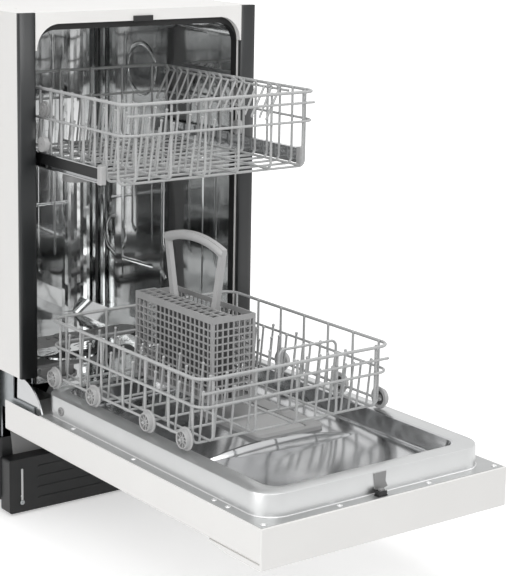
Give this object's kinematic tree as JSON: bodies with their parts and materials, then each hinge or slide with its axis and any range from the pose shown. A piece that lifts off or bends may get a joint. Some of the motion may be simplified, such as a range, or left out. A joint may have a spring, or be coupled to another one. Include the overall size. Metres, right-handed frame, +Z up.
{
  "type": "built-in dishwasher",
  "caption": "Slim built-in dishwasher with its front door lowered, wire racks drawn out, cutlery basket, spray arms, dispenser and black side strips.",
  "frame": {"origin": "centre of the box around the machine with its door lowered, on the floor", "axes": "+Z up, +Y towards the back of the cabinet, +X to the right of someone facing the door"},
  "size_m": [0.448, 1.157, 0.825],
  "materials": {
    "white_enamel": "gloss",
    "stainless": "satin",
    "galvanised": "satin",
    "coated_wire": "satin",
    "grey_plastic": "satin",
    "pale_plastic": "gloss",
    "black_plastic": "satin",
    "black_rubber": "matt",
    "cast_weight": "rough"
  },
  "bodies": {
    "tub": {"back_panel": "galvanised", "balance_weight": "cast_weight", "base_cover": "grey_plastic", "base_tray": "black_plastic", "circulation_pump": "black_plastic", "door_gasket": "black_rubber", "drain_pump": "black_plastic", "feed_pipe": "grey_plastic", "filter_plate": "stainless", "front_frame": "stainless", "hinge_brackets": "galvanised", "inlet_valve": "pale_plastic", "kick_plate": "black_plastic", "latch_striker": "stainless", "levelling_feet": "black_plastic", "rail_guides": "grey_plastic", "side_panels": "white_enamel", "side_trims": "black_plastic", "sump": "grey_plastic", "top_panel": "white_enamel", "tub_back": "stainless", "tub_floor": "stainless", "tub_wrapper": "stainless"},
    "door": {"control_fascia": "white_enamel", "dispenser_body": "grey_plastic", "door_latch": "grey_plastic", "door_liner": "stainless", "door_outer_panel": "white_enamel", "handle_pocket": "black_plastic", "hinge_arms": "stainless"},
    "lower_rack": {"lower_rack_hoops": "coated_wire", "lower_rack_rails": "coated_wire", "lower_rack_runners": "coated_wire", "lower_rack_tines": "coated_wire", "wheel_axles": "coated_wire"},
    "upper_rack": {"upper_rack_hoops": "coated_wire", "upper_rack_rails": "coated_wire", "upper_rack_runners": "coated_wire", "upper_feed_tube": "grey_plastic"},
    "basket": {"cutlery_basket": "grey_plastic", "basket_handle": "grey_plastic"},
    "rail_pair": {"slide_rails": "galvanised", "rail_caps": "grey_plastic"},
    "basket_cover": {"basket_cover": "grey_plastic"},
    "cup_shelf": {"cup_shelf": "coated_wire"},
    "rack_rollers": {"rack_rollers": "grey_plastic"},
    "upper_spray_arm": {"upper_spray_arm": "grey_plastic"},
    "lower_spray_arm": {"lower_spray_arm": "grey_plastic"},
    "filter_cartridge": {"filter_cartridge": "grey_plastic"},
    "float_cap": {"float_cap": "grey_plastic"},
    "dispenser_lid": {"dispenser_lid": "pale_plastic"},
    "rinse_cap": {"rinse_cap": "pale_plastic"},
    "latch_tongue": {"latch_tongue": "pale_plastic"},
    "button_1": {"button_1": "pale_plastic"},
    "button_2": {"button_2": "pale_plastic"},
    "button_3": {"button_3": "pale_plastic"},
    "wheel_pair_1": {"wheel_pair_1": "grey_plastic"},
    "wheel_pair_2": {"wheel_pair_2": "grey_plastic"},
    "wheel_pair_3": {"wheel_pair_3": "grey_plastic"},
    "wheel_pair_4": {"wheel_pair_4": "grey_plastic"}
  },
  "joints": [
    {"name": "door_hinge", "type": "hinge", "parent": "tub", "child": "door", "pos_m": [0, 0.0435, 0.1925], "axis": [1, 0, 0], "range_deg": [-25, 0]},
    {"name": "lower_rack_slide", "type": "slide", "parent": "door", "child": "lower_rack", "axis": [0, 1, 0], "range_m": [0, 0.44]},
    {"name": "wheel_1_roll", "type": "hinge", "parent": "lower_rack", "child": "wheel_pair_1", "pos_m": [0, 0.0235, 0.2508], "axis": [1, 0, 0], "range_deg": [-1500, 60]},
    {"name": "wheel_2_roll", "type": "hinge", "parent": "lower_rack", "child": "wheel_pair_2", "pos_m": [0, -0.0935, 0.2508], "axis": [1, 0, 0], "range_deg": [-1500, 60]},
    {"name": "wheel_3_roll", "type": "hinge", "parent": "lower_rack", "child": "wheel_pair_3", "pos_m": [0, -0.2445, 0.2508], "axis": [1, 0, 0], "range_deg": [-1500, 60]},
    {"name": "wheel_4_roll", "type": "hinge", "parent": "lower_rack", "child": "wheel_pair_4", "pos_m": [0, -0.3405, 0.2508], "axis": [1, 0, 0], "range_deg": [-1500, 60]},
    {"name": "basket_lift", "type": "slide", "parent": "lower_rack", "child": "basket", "axis": [0, 0, 1], "range_m": [0, 0.055]},
    {"name": "basket_cover_flip", "type": "hinge", "parent": "basket", "child": "basket_cover", "pos_m": [-0.056, -0.1215, 0.3825], "axis": [0, -1, 0], "range_deg": [0, 90]},
    {"name": "upper_rack_slide", "type": "slide", "parent": "tub", "child": "upper_rack", "axis": [0, 1, 0], "range_m": [0, 0.235]},
    {"name": "slide_rail_travel", "type": "slide", "parent": "tub", "child": "rail_pair", "axis": [0, 1, 0], "range_m": [-0.002, 0.19]},
    {"name": "rack_roller_spin", "type": "hinge", "parent": "upper_rack", "child": "rack_rollers", "pos_m": [0, 0.0465, 0.6223], "axis": [1, 0, 0], "range_deg": [-260, 20]},
    {"name": "cup_shelf_fold", "type": "hinge", "parent": "upper_rack", "child": "cup_shelf", "pos_m": [0.1692, 0.0465, 0.702], "axis": [0, 1, 0], "range_deg": [0, 60]},
    {"name": "upper_arm_spin", "type": "hinge", "parent": "upper_rack", "child": "upper_spray_arm", "pos_m": [0, 0.0465, 0.55995], "axis": [0, 0, 1], "continuous": true},
    {"name": "lower_arm_spin", "type": "hinge", "parent": "tub", "child": "lower_spray_arm", "pos_m": [0, 0.3035, 0.22], "axis": [0, 0, 1], "continuous": true},
    {"name": "filter_turn", "type": "hinge", "parent": "tub", "child": "filter_cartridge", "pos_m": [-0.085, 0.1835, 0.208], "axis": [0, 0, 1], "range_deg": [0, 90]},
    {"name": "float_rise", "type": "slide", "parent": "tub", "child": "float_cap", "axis": [0, 0, 1], "range_m": [0, 0.008]},
    {"name": "dispenser_lid_slide", "type": "slide", "parent": "door", "child": "dispenser_lid", "axis": [0, 1, 0], "range_m": [0, 0.055]},
    {"name": "rinse_cap_turn", "type": "hinge", "parent": "door", "child": "rinse_cap", "pos_m": [0.089, -0.2215, 0.21405], "axis": [0, 0, 1], "range_deg": [0, 90]},
    {"name": "latch_tongue_press", "type": "slide", "parent": "door", "child": "latch_tongue", "axis": [0, 0, -1], "range_m": [0, 0.005], "stiffness_N_per_m": 600},
    {"name": "button_1_press", "type": "slide", "parent": "door", "child": "button_1", "axis": [0, 0, 1], "range_m": [0, 0.0015], "stiffness_N_per_m": 400},
    {"name": "button_2_press", "type": "slide", "parent": "door", "child": "button_2", "axis": [0, 0, 1], "range_m": [0, 0.0015], "stiffness_N_per_m": 400},
    {"name": "button_3_press", "type": "slide", "parent": "door", "child": "button_3", "axis": [0, 0, 1], "range_m": [0, 0.0015], "stiffness_N_per_m": 400}
  ],
  "couplings": [
    {"joint": "wheel_1_roll", "follows": "lower_rack_slide", "rad_per_m": -57.143},
    {"joint": "wheel_2_roll", "follows": "lower_rack_slide", "rad_per_m": -57.143},
    {"joint": "wheel_3_roll", "follows": "lower_rack_slide", "rad_per_m": -57.143},
    {"joint": "wheel_4_roll", "follows": "lower_rack_slide", "rad_per_m": -57.143},
    {"joint": "slide_rail_travel", "follows": "upper_rack_slide", "ratio": 0.8},
    {"joint": "rack_roller_spin", "follows": "upper_rack_slide", "rad_per_m": -16.667}
  ]
}
